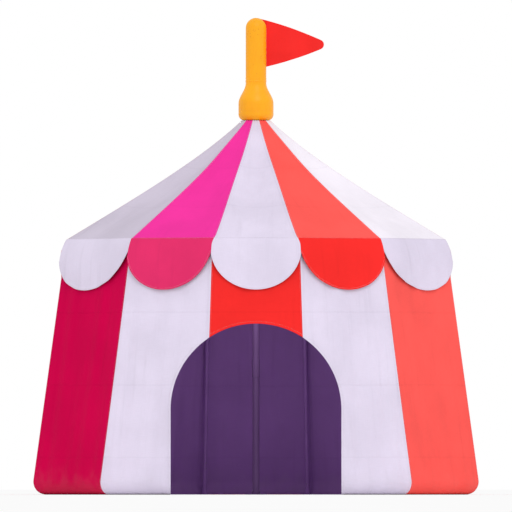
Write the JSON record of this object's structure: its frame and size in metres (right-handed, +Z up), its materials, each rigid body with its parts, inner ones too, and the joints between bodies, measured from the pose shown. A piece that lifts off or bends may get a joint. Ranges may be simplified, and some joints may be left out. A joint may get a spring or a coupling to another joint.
{
  "type": "circus big top tent",
  "caption": "Round striped big top tent with a swooping roof, scalloped valance, leaning walls, an arched doorway and a finial with a pennant.",
  "frame": {"origin": "on the ground at the centre of the plan, under the king pole", "axes": "+Z up, the doorway faces -Y, the pennant flies towards +X"},
  "size_m": [8.9026, 8.4632, 9.56],
  "materials": {
    "roof_white": "matte coated canvas, lilac white",
    "roof_light": "matte coated canvas, pale white",
    "roof_grey": "matte coated canvas, greyish white",
    "roof_pink": "matte coated canvas, bright pink",
    "roof_coral": "matte coated canvas, coral",
    "valance_white": "matte coated canvas, lilac white",
    "valance_raspberry": "matte coated canvas, raspberry",
    "valance_red": "matte coated canvas, red",
    "wall_white": "matte coated canvas, lilac white",
    "wall_red": "matte coated canvas, red",
    "wall_coral": "matte coated canvas, coral",
    "wall_crimson": "matte coated canvas, crimson",
    "frame_steel": "satin paint, dark purple",
    "finial_gold": "satin paint, orange yellow",
    "pennant_red": "woven flag cloth, red"
  },
  "bodies": {
    "root": {"roof_front": "roof_white", "roof_right_1": "roof_coral", "roof_right_2": "roof_light", "roof_right_3": "roof_pink", "roof_right_4": "roof_grey", "roof_right_5": "roof_coral", "roof_back": "roof_white", "roof_left_5": "roof_pink", "roof_left_4": "roof_light", "roof_left_3": "roof_coral", "roof_left_2": "roof_grey", "roof_left_1": "roof_pink", "valance_front": "valance_white", "valance_right_1": "valance_red", "valance_right_2": "valance_white", "valance_right_3": "valance_raspberry", "valance_right_4": "valance_white", "valance_right_5": "valance_red", "valance_back": "valance_white", "valance_left_5": "valance_raspberry", "valance_left_4": "valance_white", "valance_left_3": "valance_red", "valance_left_2": "valance_white", "valance_left_1": "valance_raspberry", "wall_front": "wall_red", "wall_right_1": "wall_white", "wall_right_2": "wall_coral", "wall_right_3": "wall_white", "wall_right_4": "wall_crimson", "wall_right_5": "wall_white", "wall_back": "wall_red", "wall_left_5": "wall_white", "wall_left_4": "wall_coral", "wall_left_3": "wall_white", "wall_left_2": "wall_crimson", "wall_left_1": "wall_white", "side_pole_right_1": "frame_steel", "side_pole_right_2": "frame_steel", "side_pole_right_3": "frame_steel", "side_pole_right_4": "frame_steel", "side_pole_right_5": "frame_steel", "side_pole_left_1": "frame_steel", "side_pole_left_2": "frame_steel", "side_pole_left_3": "frame_steel", "side_pole_left_4": "frame_steel", "side_pole_left_5": "frame_steel", "eave_ring": "frame_steel", "crown_ring": "frame_steel", "king_pole": "frame_steel", "finial": "finial_gold", "pennant": "pennant_red"}
  },
  "joints": []
}
